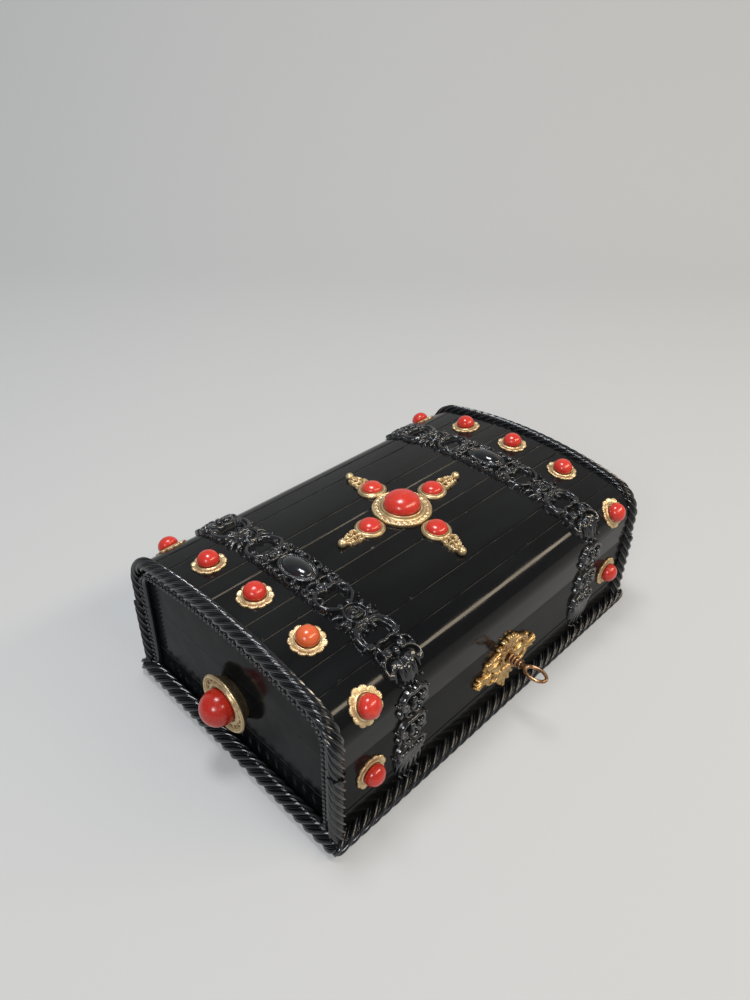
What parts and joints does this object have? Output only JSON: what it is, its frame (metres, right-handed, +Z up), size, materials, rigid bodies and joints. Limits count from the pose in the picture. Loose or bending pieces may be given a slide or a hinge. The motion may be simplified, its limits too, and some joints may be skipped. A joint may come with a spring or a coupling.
{
  "type": "casket",
  "caption": "Domed black lacquered casket with carved rope mouldings and straps, coral studs, a gilt cross mount, hinged lid, box lock and key.",
  "frame": {"origin": "centre of the flat underside, on the surface the casket stands on", "axes": "+X along the length, the front with the keyhole faces -Y, +Z up"},
  "size_m": [0.3104, 0.2126, 0.1166],
  "materials": {
    "black_lacquer": "glossy black lacquer over wood",
    "carved_black": "carved and polished black",
    "coral": "polished coral",
    "pale_gilt": "pale matte gilding",
    "rich_gilt": "worn yellow gilding",
    "key_bronze": "worn bronze",
    "lock_brass": "dull brass",
    "steel_screws": "plain",
    "lining_cloth": "dark red silk velvet"
  },
  "bodies": {
    "base": {"base_back_lower_board": "black_lacquer", "base_back_upper_board": "black_lacquer", "base_corner_ropes": "carved_black", "base_end_left": "black_lacquer", "base_end_right": "black_lacquer", "base_front_lower_board": "black_lacquer", "base_front_upper_board": "black_lacquer", "base_hinge_screws": "steel_screws", "base_rope_back": "carved_black", "base_rope_front": "carved_black", "base_rope_left": "carved_black", "base_rope_right": "carved_black", "base_strap_back_left": "carved_black", "base_strap_back_right": "carved_black", "base_strap_front_left": "carved_black", "base_strap_front_right": "carved_black", "base_stud_corals": "coral", "base_stud_plates": "pale_gilt", "base_wall_lining": "lining_cloth", "bottom_board": "black_lacquer", "end_boss_left": "pale_gilt", "end_boss_right": "pale_gilt", "end_coral_left": "coral", "end_coral_right": "coral", "escutcheon": "rich_gilt", "escutcheon_pins": "rich_gilt", "floor_pad": "lining_cloth", "hinge_base_leaves": "lock_brass", "hinge_pins": "lock_brass", "lock_case": "lock_brass", "lock_cover": "lock_brass", "lock_screws": "steel_screws"},
    "lid": {"cross_bezels": "pale_gilt", "cross_coral": "coral", "cross_finials": "pale_gilt", "cross_ring": "pale_gilt", "cross_small_corals": "coral", "hinge_lid_leaves": "lock_brass", "lid_end_left": "black_lacquer", "lid_end_right": "black_lacquer", "lid_lining": "lining_cloth", "lid_rope_left": "carved_black", "lid_rope_right": "carved_black", "lid_screws": "steel_screws", "lid_slat_back_inner_narrow": "black_lacquer", "lid_slat_back_outer_narrow": "black_lacquer", "lid_slat_back_shoulder": "black_lacquer", "lid_slat_back_wide": "black_lacquer", "lid_slat_crown": "black_lacquer", "lid_slat_front_inner_narrow": "black_lacquer", "lid_slat_front_outer_narrow": "black_lacquer", "lid_slat_front_shoulder": "black_lacquer", "lid_slat_front_wide": "black_lacquer", "lid_strap_left": "carved_black", "lid_strap_right": "carved_black", "lid_stud_corals": "coral", "lid_stud_plates": "pale_gilt", "link_plate": "lock_brass"},
    "key": {"key": "key_bronze"},
    "bolt": {"lock_bolt": "lock_brass"}
  },
  "joints": [
    {"name": "lid_hinge", "type": "hinge", "parent": "base", "child": "lid", "pos_m": [0, 0.091, 0.06], "axis": [-1, 0, 0], "range_deg": [0, 95]},
    {"name": "key_turn", "type": "hinge", "parent": "base", "child": "key", "pos_m": [0, -0.1, 0.043], "axis": [0, 1, 0], "range_deg": [0, 90]},
    {"name": "bolt_slide", "type": "slide", "parent": "base", "child": "bolt", "axis": [1, 0, 0], "range_m": [0, 0.005]}
  ],
  "couplings": [
    {"joint": "key_turn", "follows": "bolt_slide", "rad_per_m": 314.1}
  ]
}
